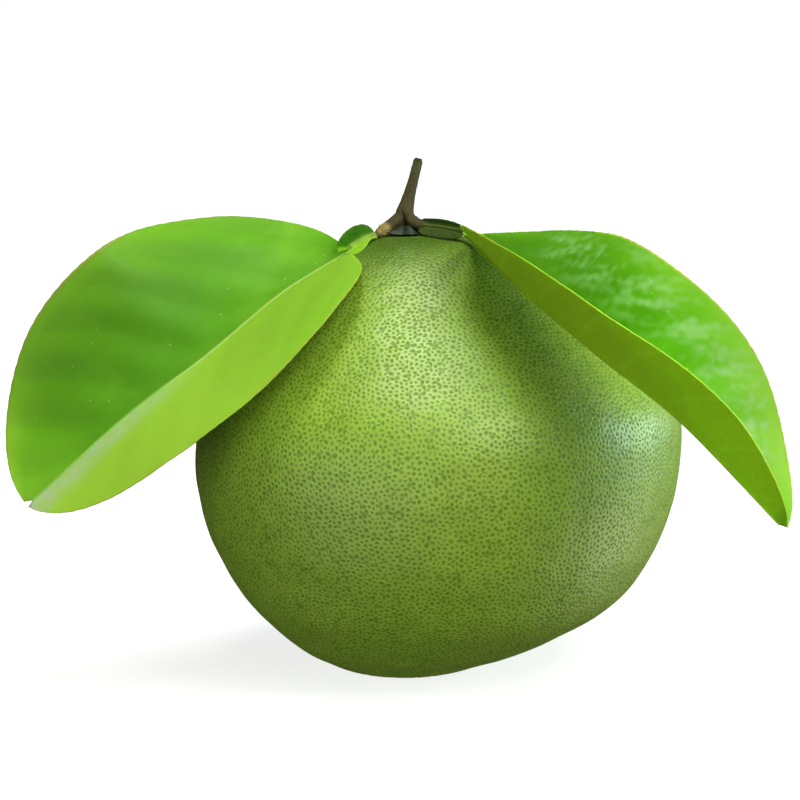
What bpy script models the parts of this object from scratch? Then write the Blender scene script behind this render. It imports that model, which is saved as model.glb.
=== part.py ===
"""A pomelo as picked: the fruit with its calyx, a short twig, and two leaves on winged petioles.

Metres, +Z up. The fruit rests on a small flat spot in the plane z = 0. The origin lies in that spot, under
the fruit's centre of mass. The viewer's side is -Y, and the leaves spread to -X (left) and +X (right).
"""

import math

import bmesh
import bpy
import numpy as np

MM = 0.001
GAP = 0.35 * MM  # left between pieces that touch

# The fruit's outline as rings from the lowest point to the crown, before it settles on its flat spot:
# (height, left edge, right edge). It isn't a turned shape: each ring has its own centre.
FRUIT_OUTLINE = [
    (-0.6, -9.5, -9.5), (0.0, -27.5, 8.5), (4.0, -38.5, 21.5), (10.0, -48.0, 38.5), (22.5, -61.5, 60.0),
    (36.4, -70.2, 71.3), (51.0, -76.0, 78.0), (71.0, -78.6, 81.8), (90.0, -74.5, 79.5),
    (108.0, -62.0, 63.5), (123.5, -48.5, 43.0), (134.0, -35.5, 29.0), (140.0, -23.5, 18.5),
    (142.5, -15.5, 2.5), (143.2, -9.0, -9.0),
]
FRUIT_TOE = -3.5 * MM  # the lowest point lies towards the front
FRUIT_TOE_HEIGHT = 12.0 * MM  # how fast that shift dies out upwards
FRUIT_DEPTH = 0.98  # depth of a ring over its width
FRUIT_SETTLE = 0.8 * MM  # height over which the skin eases into the flat spot
FRUIT_SEGMENTS = 48
FRUIT_RINGS = 26

LEAF_THICKNESS = 0.8 * MM
LEAF_ROWS = 22
LEAF_COLUMNS = 10

# Each folded leaf shape: its midrib from stalk to tip, then for each half its width, where it is widest, how
# full its outline is, and its lift above the level in degrees at the base, the middle and the tip. The near
# half spreads towards the viewer, the far half leans back past upright. Near the tip the sweep carries the
# margins on past the midrib's end.
LEFT_BLADE = {
    "midrib": [
        (-27.4, -9, 138.5), (-49, -14, 125.3), (-73.8, -21, 105.1), (-99.5, -30, 86.6), (-127.2, -38, 61.9),
    ],
    "near": {"width": 48, "widest": 0.35, "fullness": 0.57, "lift": (-7, -9, -28)},
    "far": {"width": 48, "widest": 0.485, "fullness": 0.51, "lift": (150, 107, 131)},
    "sweep": {"near": 2.5, "far": 2.5, "power": 8},
}
RIGHT_BLADE = {
    "midrib": [
        (9.2, -10, 145.5), (17.1, -23.8, 138), (26.7, -41.4, 129.4), (49.5, -70.8, 111.8),
        (71.5, -94.5, 95.5), (97.9, -115, 68.8),
    ],
    "near": {"width": 36.6, "widest": 0.545, "fullness": 0.41, "lift": (36, 45, 50)},
    "far": {"start": 0.025, "width": 35, "widest": 0.51, "fullness": 0.68, "lift": (152, 112, 155)},
    "sweep": {"near": 2.5, "far": 2.5, "power": 8},
}
BLADE_END_WIDTH = 1.5  # half width at the joint and at the blunt tip, mm

# The petioles carry narrow wings, shaped like small blades, along a round stalk.
LEFT_PETIOLE = {
    "midrib": [(-18.8, -4.7, 143.0), (-22.5, -6.3, 142.0), (-27.0, -8.6, 139.2)],
    "near": {"width": 5.0, "widest": 0.6, "fullness": 0.4, "lift": (-5, -8, -8)},
    "far": {"width": 5.9, "widest": 0.6, "fullness": 0.4, "lift": (85, 85, 85)},
    "sweep": {"near": 0, "far": 4.5, "power": 2},
}
RIGHT_PETIOLE = {
    "midrib": [(-4.4, -2.6, 146.5), (-1.0, -4.0, 146.2), (4.0, -6.6, 145.8), (8.7, -9.7, 145.6)],
    "near": {"width": 6.0, "widest": 0.55, "fullness": 0.4, "lift": (-30, -30, -30)},
    "far": {"width": 2.6, "widest": 0.5, "fullness": 0.4, "lift": (80, 80, 80)},
    "sweep": {"near": 0, "far": 0, "power": 2},
}
STALK_RADIUS = 1.1 * MM
WING_ROWS = 8
WING_COLUMNS = 4

# The twig, as (x, y, height, radius): its stem from the cut end down, and a stub for each petiole
TWIG_STEM = [
    (-5.0, 3, 167.3, 1.5), (-6.8, 2.2, 160, 1.65), (-8.6, 1, 153.5, 2.3), (-9.4, 0, 149.9, 3.0),
    (-9.2, 0, 147.9, 2.4),
]
TWIG_LEFT_STUB = [
    (-9.6, 0, 149.6, 2.3), (-13.2, -2, 147.0, 2.1), (-16.2, -3.4, 144.7, 2.1), (-18.2, -4.4, 143.3, 1.7),
]
TWIG_RIGHT_STUB = [(-9, 0, 149.4, 2.1), (-7.0, -1.4, 147.9, 1.9), (-5.0, -2.3, 146.8, 1.6)]
TUBE_SAMPLES = 4  # points made along a tube for each of its own

CALYX_RADIUS = 5.2 * MM
CALYX_LOBE = 1.1 * MM  # how far each of its five lobes reaches out
CALYX_HEIGHT = 3.8 * MM
CALYX_RIM = 0.7 * MM
CALYX_STEEPNESS = 1.5  # how hollow the slope from the rim to the peak is
CALYX_SEGMENTS = 30
CALYX_RINGS = 10

CURVE_STEPS = 24  # points between two given ones before a curve is measured and spread evenly
WELD = 0.01 * MM

COLOURS = {
    "fruit": (0.20, 0.35, 0.05),
    "calyx": (0.07, 0.13, 0.05),
    "twig": (0.12, 0.10, 0.04),
    "left_petiole": (0.22, 0.45, 0.05),
    "left_leaf": (0.12, 0.38, 0.02),
    "right_petiole": (0.08, 0.16, 0.04),
    "right_leaf": (0.14, 0.40, 0.03),
}


def catmull_rom(points, samples, before=None, after=None):
    """Points on a smooth curve through the given ones, spread evenly by length or at given shares of it."""
    points = np.array(points, float)
    first = 2 * points[0] - points[1] if before is None else before
    last = 2 * points[-1] - points[-2] if after is None else after
    padded = np.vstack([first, points, last])
    steps = np.linspace(0, 1, CURVE_STEPS, endpoint=False)[:, None]
    pieces = []
    for a, b, c, d in zip(padded, padded[1:], padded[2:], padded[3:]):
        bend = (2 * a - 5 * b + 4 * c - d) * steps**2 + (3 * b - a - 3 * c + d) * steps**3
        pieces.append((2 * b + (c - a) * steps + bend) / 2)
    dense = np.vstack([*pieces, points[-1:]])
    length = np.concatenate([[0], np.cumsum(np.linalg.norm(np.diff(dense, axis=0), axis=1))])
    at = np.linspace(0, length[-1], samples) if np.isscalar(samples) else samples * length[-1]
    return np.stack([np.interp(at, length, column) for column in dense.T], axis=1)


def new_object(name, mesh, collection):
    if name in COLOURS:
        material = bpy.data.materials.new(name)
        material.use_nodes = True
        shader = material.node_tree.nodes["Principled BSDF"]
        shader.inputs["Base Color"].default_value = (*COLOURS[name], 1)
        shader.inputs["Roughness"].default_value = 0.45
        mesh.materials.append(material)
    obj = bpy.data.objects.new(name, mesh)
    collection.objects.link(obj)
    return obj


def mesh_from(form, name):
    mesh = bpy.data.meshes.new(name)
    form.to_mesh(mesh)
    form.free()
    mesh.shade_smooth()
    return mesh


# ---------------------------------------------------------------- fruit


def settled(height):
    """The rind lies flat where it would reach below the ground, and eases into that flat spot."""
    if height <= 0:
        return 0.0
    if height < FRUIT_SETTLE:
        return height**2 / (2 * FRUIT_SETTLE)
    return height - FRUIT_SETTLE / 2


def fruit_rings():
    """(height, left, right) from pole to pole. Past each pole the outline comes back on the other side."""
    outline = np.array(FRUIT_OUTLINE) * MM
    swapped = outline[:, [0, 2, 1]]
    return catmull_rom(outline, FRUIT_RINGS + 1, before=swapped[1], after=swapped[-2])


def fruit_mesh():
    form = bmesh.new()
    bmesh.ops.create_uvsphere(form, u_segments=FRUIT_SEGMENTS, v_segments=FRUIT_RINGS, radius=1)
    rings = fruit_rings()
    for vertex in form.verts:
        share = math.acos(max(-1.0, min(1.0, -vertex.co.z))) / math.pi
        height, left, right = rings[round(share * FRUIT_RINGS)]
        around = math.atan2(vertex.co.y, vertex.co.x)
        radius = (right - left) / 2
        toe = FRUIT_TOE * math.exp(-height / FRUIT_TOE_HEIGHT)
        vertex.co.x = (left + right) / 2 + radius * math.cos(around)
        vertex.co.y = toe + radius * FRUIT_DEPTH * math.sin(around)
        vertex.co.z = settled(height)
    return mesh_from(form, "fruit")


def calyx_mesh():
    """A pointed cap with five lobes that lies on the crown and rises to the foot of the twig."""
    form = bmesh.new()
    bmesh.ops.create_uvsphere(form, u_segments=CALYX_SEGMENTS, v_segments=CALYX_RINGS, radius=1)
    crown = fruit_rings()[:-6:-1]
    crown_radii = (crown[:, 2] - crown[:, 1]) / 2
    apex_x = crown[0, 1]
    for vertex in form.verts:
        out = math.hypot(vertex.co.x, vertex.co.y)
        around = math.atan2(vertex.co.y, vertex.co.x)
        reach = CALYX_RADIUS + CALYX_LOBE * math.cos(5 * around)
        distance = out * reach
        rind = settled(np.interp(distance, crown_radii, crown[:, 0])) + GAP
        thickness = CALYX_RIM + (CALYX_HEIGHT - CALYX_RIM) * max(0.0, 1 - out) ** CALYX_STEEPNESS
        vertex.co.x = apex_x + distance * math.cos(around)
        vertex.co.y = distance * math.sin(around)
        vertex.co.z = rind + thickness * (vertex.co.z + 1) / 2
    return mesh_from(form, "calyx")


# ---------------------------------------------------------------- leaves


def half_width(share, half):
    """A half's width along the midrib, as an ellipse that may be fuller and widest off the middle."""
    skew = math.log(0.5) / math.log(half["widest"])
    start = half.get("start", 0)
    around = max(0.0, (share - start) / (1 - start)) ** skew
    return MM * max(BLADE_END_WIDTH, half["width"] * (4 * around * (1 - around)) ** half["fullness"])


def lift_at(share, half):
    """A half's lift, easing from its base value to its middle one and on to its tip one."""
    start, end = half["lift"][:2] if share < 0.5 else half["lift"][1:]
    part = 2 * share if share < 0.5 else 2 * share - 1
    return math.radians(start + (end - start) * part**2 * (3 - 2 * part))


def folded_mesh(name, shape, rows, columns):
    """A sheet folded along its midrib, with both halves spread out from there."""
    shares = (1 - np.cos(np.linspace(0, math.pi, rows + 1))) / 2
    midrib = catmull_rom(np.array(shape["midrib"]) * MM, shares)
    along = np.gradient(midrib, axis=0)
    along /= np.linalg.norm(along, axis=1)[:, None]
    level = np.cross((0, 0, 1), along)
    level *= (-np.sign(level[:, 1]) / np.linalg.norm(level, axis=1))[:, None]
    upward = np.cross(level, along)
    upward *= np.sign(upward[:, 2])[:, None]
    form = bmesh.new()
    bmesh.ops.create_grid(form, x_segments=rows, y_segments=columns, size=1)
    for vertex in form.verts:
        row = round((vertex.co.x + 1) / 2 * rows)
        across = vertex.co.y
        half = shape["near"] if across < 0 else shape["far"]
        lift = lift_at(shares[row], half)
        side = math.cos(lift) * level[row] + math.sin(lift) * upward[row]
        reach = shape["sweep"]["near" if across < 0 else "far"]
        beyond = reach * MM * shares[row] ** shape["sweep"]["power"] * abs(across)
        vertex.co = midrib[row] + side * abs(across) * half_width(shares[row], half) + along[row] * beyond
    bmesh.ops.recalc_face_normals(form, faces=form.faces)
    return mesh_from(form, name)


def make_folded(name, shape, rows, columns, collection):
    obj = new_object(name, folded_mesh(name, shape, rows, columns), collection)
    wall = obj.modifiers.new("Thickness", "SOLIDIFY")
    wall.thickness = LEAF_THICKNESS
    wall.offset = 0
    return obj


# ---------------------------------------------------------------- stalks and twig


def tube_object(name, points, collection):
    """A round rod along a smooth path of (x, y, height, radius) points, as a closed mesh."""
    path = bpy.data.curves.new(name, "CURVE")
    path.dimensions = "3D"
    path.bevel_depth = MM
    path.bevel_resolution = 3
    path.use_fill_caps = True
    line = path.splines.new("POLY")
    smooth = catmull_rom(points, TUBE_SAMPLES * (len(points) - 1) + 1)
    line.points.add(len(smooth) - 1)
    for point, (x, y, z, radius) in zip(line.points, smooth):
        point.co = (x * MM, y * MM, z * MM, 1)
        point.radius = radius
    rod = bpy.data.objects.new(name, path)
    bpy.context.scene.collection.objects.link(rod)
    bpy.context.view_layer.update()
    mesh = bpy.data.meshes.new_from_object(rod.evaluated_get(bpy.context.evaluated_depsgraph_get()))
    bpy.data.objects.remove(rod)
    form = bmesh.new()
    form.from_mesh(mesh)
    bmesh.ops.remove_doubles(form, verts=form.verts, dist=WELD)
    bmesh.ops.recalc_face_normals(form, faces=form.faces)
    bpy.data.meshes.remove(mesh)
    return new_object(name, mesh_from(form, name), collection)


def join(obj, other):
    """Makes the other shape one with this one."""
    other.hide_render = True
    other.display_type = "WIRE"
    union = obj.modifiers.new("Join " + other.name, "BOOLEAN")
    union.operation = "UNION"
    union.object = other


def make_petiole(name, shape, parts, helpers):
    stalk = tube_object(name, [(*point, STALK_RADIUS / MM) for point in shape["midrib"]], parts)
    join(stalk, make_folded(name + "_wings", shape, WING_ROWS, WING_COLUMNS, helpers))


def make_twig(parts, helpers):
    stem = tube_object("twig", TWIG_STEM, parts)
    join(stem, tube_object("twig_left_stub", TWIG_LEFT_STUB, helpers))
    join(stem, tube_object("twig_right_stub", TWIG_RIGHT_STUB, helpers))


def main():
    for obj in list(bpy.data.objects):
        bpy.data.objects.remove(obj)
    parts = bpy.data.collections.new("pomelo")
    helpers = bpy.data.collections.new("joined shapes")
    bpy.context.scene.collection.children.link(parts)
    bpy.context.scene.collection.children.link(helpers)
    new_object("fruit", fruit_mesh(), parts)
    new_object("calyx", calyx_mesh(), parts)
    make_twig(parts, helpers)
    make_petiole("left_petiole", LEFT_PETIOLE, parts, helpers)
    make_petiole("right_petiole", RIGHT_PETIOLE, parts, helpers)
    make_folded("left_leaf", LEFT_BLADE, LEAF_ROWS, LEAF_COLUMNS, parts)
    make_folded("right_leaf", RIGHT_BLADE, LEAF_ROWS, LEAF_COLUMNS, parts)


main()
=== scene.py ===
"""A picked pomelo as it looks: pitted rind, calyx, forked twig, and two folded leaves on winged petioles.

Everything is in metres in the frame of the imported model. Each piece stands for the CAD node of the same name.
"""

import math

import bmesh
import bpy
import numpy as np
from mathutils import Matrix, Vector, noise
from mathutils.geometry import delaunay_2d_cdt


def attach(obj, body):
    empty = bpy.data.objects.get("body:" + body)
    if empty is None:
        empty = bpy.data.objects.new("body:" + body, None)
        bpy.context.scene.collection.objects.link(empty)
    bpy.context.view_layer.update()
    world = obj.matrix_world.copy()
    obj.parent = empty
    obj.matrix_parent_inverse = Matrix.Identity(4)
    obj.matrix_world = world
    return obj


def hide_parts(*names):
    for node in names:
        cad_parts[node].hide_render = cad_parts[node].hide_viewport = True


bl_info = {
    "name": "Pomelo with Twig and Leaves",
    "version": (1, 0, 0),
    "blender": (4, 5, 0),
    "location": "View3D > Sidebar > Pomelo",
    "description": "Finishes a picked pomelo, its calyx, twig and two folded leaves, and lights them",
    "category": "Object",
}

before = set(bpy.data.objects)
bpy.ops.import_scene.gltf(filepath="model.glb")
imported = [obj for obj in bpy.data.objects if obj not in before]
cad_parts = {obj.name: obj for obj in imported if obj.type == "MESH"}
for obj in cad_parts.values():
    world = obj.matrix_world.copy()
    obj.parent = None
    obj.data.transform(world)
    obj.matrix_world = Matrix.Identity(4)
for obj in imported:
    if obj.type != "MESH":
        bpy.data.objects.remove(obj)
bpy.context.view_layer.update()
BODY = "root"
MM = 0.001

# The fruit's outline as rings from the lowest point to the crown, before it settles on its flat spot:
# (height, left edge, right edge) in mm. Each ring has its own centre.
FRUIT_OUTLINE = [
    (-0.6, -9.5, -9.5), (0.0, -27.5, 8.5), (4.0, -38.5, 21.5), (10.0, -48.0, 38.5), (22.5, -61.5, 60.0),
    (36.4, -70.2, 71.3), (51.0, -76.0, 78.0), (71.0, -78.6, 81.8), (90.0, -74.5, 79.5),
    (108.0, -62.0, 63.5), (123.5, -48.5, 43.0), (134.0, -35.5, 29.0), (140.0, -23.5, 18.5),
    (142.5, -15.5, 2.5), (143.2, -9.0, -9.0),
]
FRUIT_TOE = -3.5 * MM  # the lowest point lies towards the front
FRUIT_TOE_HEIGHT = 12.0 * MM  # how fast that shift dies out upwards
FRUIT_DEPTH = 0.98  # depth of a ring over its width
FRUIT_SETTLE = 0.8 * MM  # height over which the skin eases into the flat spot
CROWN_SWELL = 1.2 * MM
CROWN = (-9.0 * MM, 0.0, 142.8 * MM)
BLOSSOM_END = (27.0 * MM, -4.0 * MM, 4.0 * MM)

# Each folded leaf shape, in mm: its midrib from stalk to tip, then for each half its width, where it is
# widest, how full its outline is, and its lift above the level in degrees at the base, the middle and the
# tip. A half may also start further along, or taper towards the stalk. The sweep carries its margin on past
# the tip.
LEFT_BLADE = {
    "midrib": [
        (-27.4, -9, 138.5), (-49, -14, 125.3), (-73.8, -21, 105.1), (-99.5, -30, 86.6),
        (-127.2, -38, 61.9),
    ],
    "near": {"width": 48, "widest": 0.35, "fullness": 0.57, "lift": (-7, -9, -28)},
    "far": {"width": 48, "widest": 0.485, "fullness": 0.51, "lift": (150, 107, 131)},
    "sweep": {"near": 2.5, "far": 2.5, "power": 8},
}
RIGHT_BLADE = {
    "midrib": [
        (9.2, -10, 145.5), (17.1, -23.8, 138), (26.7, -41.4, 129.4), (49.5, -70.8, 111.8),
        (71.5, -94.5, 95.5), (97.9, -115, 68.8),
    ],
    "near": {"taper": 0.2, "width": 31, "widest": 0.44, "fullness": 0.5, "lift": (40, 49, 64)},
    "far": {"start": 0.025, "width": 35, "widest": 0.51, "fullness": 0.68, "lift": (152, 112, 155)},
    "sweep": {"near": 2.5, "far": 2.5, "power": 8},
}
LEFT_PETIOLE = {
    "midrib": [(-18.8, -4.7, 143.0), (-22.5, -6.3, 142.0), (-27.0, -8.6, 139.2)],
    "near": {"width": 6.0, "widest": 0.8, "fullness": 0.35, "lift": (-5, -8, -8)},
    "far": {"width": 5.9, "widest": 0.6, "fullness": 0.4, "lift": (85, 85, 85)},
    "sweep": {"near": 3.0, "far": 4.5, "power": 2},
}
RIGHT_PETIOLE = {
    "midrib": [(-4.4, -2.6, 146.5), (-1.0, -4.0, 146.2), (4.0, -6.6, 145.8), (10.2, -11.0, 144.9)],
    "near": {"width": 5.2, "widest": 0.5, "fullness": 0.22, "lift": (-35, -35, -35)},
    "far": {"width": 2.7, "widest": 0.42, "fullness": 0.22, "lift": (75, 75, 75)},
    "sweep": {"near": 0, "far": 0, "power": 2},
}
END_WIDTH = 1.5  # mm, the least half width, at the joint and at the blunt tip

# The twig, as (x, y, height, radius) in mm: its stem from the cut end down, and a stub for each petiole
TWIG_STEM = [
    (-5.0, 3, 167.0, 1.55), (-6.8, 2.2, 160, 1.7), (-8.6, 1, 153.5, 2.3), (-9.4, 0, 149.9, 3.0),
    (-9.2, 0, 147.9, 2.4),
]
TWIG_LEFT_STUB = [
    (-9.6, 0, 149.4, 2.4), (-13.0, -2, 146.8, 2.15), (-16.0, -3.4, 144.7, 2.0), (-18.2, -4.4, 143.3, 1.5),
    (-19.2, -4.8, 142.9, 1.1),
]
TWIG_RIGHT_STUB = [
    (-9, 0, 149.2, 2.3), (-7.0, -1.4, 147.7, 2.1), (-5.0, -2.3, 146.7, 1.9), (-2.6, -3.2, 146.3, 1.6),
]

CALYX_LOBES = 5
CALYX_RADIUS = 6.4 * MM  # between the lobes' tips and the bays
CALYX_LOBE = 1.3 * MM  # how far a lobe reaches past that radius
CALYX_HEIGHT = 4.5 * MM
CALYX_RIM = 0.7 * MM
CALYX_STEEPNESS = 0.75
CALYX_RIDGE = 0.35 * MM  # how far a lobe's middle stands up


# ---------------------------------------------------------------- settings


def colour_property(name, description, default):
    return bpy.props.FloatVectorProperty(
        name=name, description=description, default=default, subtype="COLOR", size=3, min=0, max=1
    )


def length_property(name, description, default):
    return bpy.props.FloatProperty(
        name=name, description=description, default=default, unit="LENGTH", subtype="DISTANCE",
        precision=5, min=0,
    )


def power_property(name, description, default):
    return bpy.props.FloatProperty(name=name, description=description, default=default, unit="POWER", min=0)


class RindSettings(bpy.types.PropertyGroup):
    gland_spacing: length_property("Gland spacing", "Least distance between two oil glands", 1.32 * MM)
    pit_depth: length_property("Pit depth", "How deep the skin sinks over the largest gland", 0.2 * MM)
    swell: length_property("Swell", "Height of the skin's broad unevenness", 0.35 * MM)
    seed: bpy.props.IntProperty(name="Seed", description="Which arrangement of glands", default=7)
    net: colour_property("Net", "Skin between the glands", (0.35, 0.56, 0.055))
    glands: colour_property("Glands", "Skin over the glands", (0.120, 0.265, 0.004))
    ripe: colour_property("Ripe side", "Skin where the fruit turns yellow", (0.52, 0.62, 0.13))
    # Deeper green round the calyx, darkened and spread wide as painted shade of the twig and leaves over the
    # crown.
    crown: colour_property("Crown", "Deeper green round the calyx", (0.045, 0.115, 0.004))
    scar: colour_property("Blossom end", "Small dry scar on the underside", (0.16, 0.10, 0.04))


class LeafSettings(bpy.types.PropertyGroup):
    thickness: length_property("Thickness", "Thickness of a blade between its veins", 0.42 * MM)
    vein_spacing: length_property("Vein spacing", "Distance between side veins along the midrib", 20 * MM)
    quilting: length_property("Quilting", "How far the blade bulges between its side veins", 0.2 * MM)
    rib_height: length_property("Rib height", "How far the midrib stands out below, at the stalk", 0.9 * MM)
    upper: colour_property("Upper face", "Waxed upper face", (0.120, 0.43, 0.005))
    # Paler parts: random patches, the margin and the tip, and painted light over the near half, which lies
    # level and faces the light.
    pale_and_lit: colour_property("Young parts", "Paler parts of the upper face", (0.37, 0.88, 0.050))
    under: colour_property("Under face", "Matte under face", (0.262, 0.318, 0.014))
    # Colour of the painted shade on the far halves, spread by left_shade and right_shade.
    deep: colour_property("Deep parts", "Darkest parts of the upper face", (0.060, 0.150, 0.003))
    # Colour of the painted sheen: pale bands and streaks on the upper face that stand in for its sheen.
    painted_sheen_colour: colour_property("Wax", "Pale bloom on the upper face", (0.50, 0.76, 0.44))
    midrib: colour_property("Midrib", "Line of the midrib on the upper face", (0.50, 0.76, 0.16))
    margin: colour_property("Margin", "Thin line along the margin", (0.40, 0.58, 0.06))


class PetioleSettings(bpy.types.PropertyGroup):
    # The left near wing is painted far lighter than the far wing: painted light on the wing that lies level and
    # faces the light, over its own green.
    left_far: colour_property("Left far wing", "Wing that stands up", (0.055, 0.22, 0.004))
    left_near: colour_property("Left near wing", "Wing that lies level", (0.30, 0.64, 0.025))
    left_stalk: colour_property("Left stalk", "Ribbed stalk", (0.30, 0.50, 0.06))
    left_joint: colour_property("Left joint", "Stalk at the twig", (0.34, 0.30, 0.09))
    # The right petiole's colours are its own dark green darkened further as painted shade of the twig and the
    # right leaf over it.
    right_far: colour_property("Right far wing", "Wing that stands up", (0.020, 0.075, 0.008))
    right_near: colour_property("Right near wing", "Wing that hangs down", (0.045, 0.080, 0.010))
    right_stalk: colour_property("Right stalk", "Ribbed stalk", (0.085, 0.135, 0.018))
    right_joint: colour_property("Right joint", "Stalk at the twig", (0.06, 0.06, 0.02))


class TwigSettings(bpy.types.PropertyGroup):
    lenticel_spacing: length_property("Lenticel spacing", "Least distance between lenticels", 1.3 * MM)
    seed: bpy.props.IntProperty(name="Seed", description="Which arrangement of lenticels", default=3)
    bark: colour_property("Bark", "Young bark", (0.066, 0.056, 0.015))
    fresh: colour_property("Fresh bark", "Greener bark near the cut", (0.085, 0.092, 0.026))
    scar: colour_property("Scar", "Dry scales at the left fork", (0.35, 0.28, 0.09))
    # Painted shade in the groove at the fork, and the cut end's own dark colour.
    groove_shade_and_cut_end: colour_property("Crack", "Groove at the fork, and the cut end", (0.012, 0.013, 0.005))


class CalyxSettings(bpy.types.PropertyGroup):
    # The calyx's own dark green, darkened to near black as painted shade under the fork.
    dark: colour_property("Dark parts", "Darkest green of the calyx", (0.014, 0.032, 0.016))
    pale: colour_property("Pale parts", "Palest green of the calyx", (0.034, 0.058, 0.024))


class StageSettings(bpy.types.PropertyGroup):
    key: power_property("Key", "Power of the soft light above, to the right", 9.5)
    front: power_property("Front", "Power of the soft light above the camera", 10)
    top: power_property("Top", "Power of the soft light overhead", 12)
    window: power_property("Window", "Power of the cool light at the right", 13.5)
    bounce: power_property("Bounce", "Power of the warm light from low down at the right", 6)
    fill: power_property("Fill", "Power of the broad light in front, to the left", 11)
    ambient: bpy.props.FloatProperty(name="Ambient", description="Light from all round", default=0.02, min=0)


class PomeloSettings(bpy.types.PropertyGroup):
    rind: bpy.props.PointerProperty(type=RindSettings)
    leaf: bpy.props.PointerProperty(type=LeafSettings)
    petiole: bpy.props.PointerProperty(type=PetioleSettings)
    twig: bpy.props.PointerProperty(type=TwigSettings)
    calyx: bpy.props.PointerProperty(type=CalyxSettings)
    stage: bpy.props.PointerProperty(type=StageSettings)


# ---------------------------------------------------------------- node trees


def _operator(operation, swapped=False):
    def apply(self, other):
        values = (other, self) if swapped else (self, other)
        return self.tree.maths(operation, *values)

    return apply


class Wire:
    """A node's output. Arithmetic on it adds Math nodes to its tree."""

    def __init__(self, tree, socket):
        self.tree = tree
        self.socket = socket

    __add__ = __radd__ = _operator("ADD")
    __mul__ = __rmul__ = _operator("MULTIPLY")
    __sub__ = _operator("SUBTRACT")
    __rsub__ = _operator("SUBTRACT", swapped=True)

    def most(self, other):
        return self.tree.maths("MAXIMUM", self, other)

    def size(self):
        return self.tree.maths("ABSOLUTE", self)

    def step(self, low, high):
        """0 below low, 1 above high, and a smooth rise between. With high below low it falls instead."""
        limits = {"Value": self, "From Min": low, "From Max": high}
        return self.tree.add("ShaderNodeMapRange", {"interpolation_type": "SMOOTHSTEP"}, limits)

    def out(self, name):
        """Another output of the same node."""
        return Wire(self.tree, self.socket.node.outputs[name])


class Tree:
    """Adds nodes to a shader's or a geometry's node tree."""

    def __init__(self, nodes):
        self.nodes = nodes

    def add(self, kind, settings=None, inputs=None, out=0):
        """A new node: its settings first, then each input's value or wire. Returns the wire of one output."""
        node = self.nodes.nodes.new(kind)
        for name, value in (settings or {}).items():
            setattr(node, name, value)
        for name, value in (inputs or {}).items():
            if isinstance(value, Wire):
                self.nodes.links.new(value.socket, node.inputs[name])
            else:
                node.inputs[name].default_value = value
        return Wire(self, node.outputs[out])

    def maths(self, operation, *values):
        return self.add("ShaderNodeMath", {"operation": operation}, dict(enumerate(values)))

    def noise(self, where, scale, detail=2.0, roughness=0.5):
        inputs = {"Vector": where, "Scale": scale, "Detail": detail, "Roughness": roughness}
        return self.add("ShaderNodeTexNoise", {}, inputs)

    def voronoi(self, where, scale, feature="F1", out="Distance"):
        inputs = {"Vector": where, "Scale": scale}
        return self.add("ShaderNodeTexVoronoi", {"feature": feature}, inputs, out)

    def blend(self, first, second, factor):
        """The second colour over the first one, by factor."""
        inputs = {0: factor, 6: as_colour(first), 7: as_colour(second)}
        return self.add("ShaderNodeMix", {"data_type": "RGBA"}, inputs, 2)

    def tint(self, colour, factor):
        """A colour made brighter or darker, or a vector made longer or shorter, by a wire's value."""
        scale = {0: colour, "Scale": factor}
        return self.add("ShaderNodeVectorMath", {"operation": "SCALE"}, scale)

    def vectors(self, operation, *values, out=0):
        return self.add("ShaderNodeVectorMath", {"operation": operation}, dict(enumerate(values)), out)

    def attribute(self, name):
        return self.add("ShaderNodeAttribute", {"attribute_name": name}, {}, "Fac")

    def stored(self, name):
        """A geometry tree's reading of an attribute."""
        return self.add("GeometryNodeInputNamedAttribute", {"data_type": "FLOAT"}, {"Name": name})

    def random(self, low, high, seed):
        """A random value for each point of a geometry tree."""
        inputs = {2: low, 3: high, "Seed": seed}
        return self.add("FunctionNodeRandomValue", {"data_type": "FLOAT"}, inputs, 1)


def as_colour(value):
    return value if isinstance(value, Wire) else (*value, 1)


def new_material(name, look):
    """A Principled material.

    look(tree, where) returns the values and wires of its sockets, and a height in mm for its bump.
    """
    material = bpy.data.materials.new(name)
    material.use_nodes = True
    tree = Tree(material.node_tree)
    shader = material.node_tree.nodes["Principled BSDF"]
    where = tree.add("ShaderNodeTexCoord", {}, {}, "Object")
    sockets = look(tree, where)
    height = sockets.pop("height", None)
    if height is not None:
        bump = {"Height": height, "Distance": MM, "Strength": 1.0}
        sockets["Normal"] = tree.add("ShaderNodeBump", {}, bump)
    for name, value in sockets.items():
        if isinstance(value, Wire):
            material.node_tree.links.new(value.socket, shader.inputs[name])
        else:
            shader.inputs[name].default_value = value
    return material


def geometry_tree(name, inputs):
    """A new geometry tree with the inputs (name, socket type). Returns it and a wire for each input."""
    nodes = bpy.data.node_groups.new(name, "GeometryNodeTree")
    nodes.interface.new_socket("Geometry", in_out="OUTPUT", socket_type="NodeSocketGeometry")
    for title, kind in [("Geometry", "NodeSocketGeometry"), *inputs]:
        nodes.interface.new_socket(title, in_out="INPUT", socket_type=kind)
    tree = Tree(nodes)
    entry = tree.add("NodeGroupInput")
    return tree, {title: entry.out(title) for title in ["Geometry", *[title for title, _ in inputs]]}


def scattered(tree, given):
    """Points spread at random over the tree's geometry, none closer together than its Spacing."""
    scatter = {
        "Mesh": given["Geometry"], "Distance Min": given["Spacing"],
        "Density Max": given["Crowding"], "Seed": given["Seed"],
    }
    return tree.add("GeometryNodeDistributePointsOnFaces", {"distribute_method": "POISSON"}, scatter)


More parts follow.
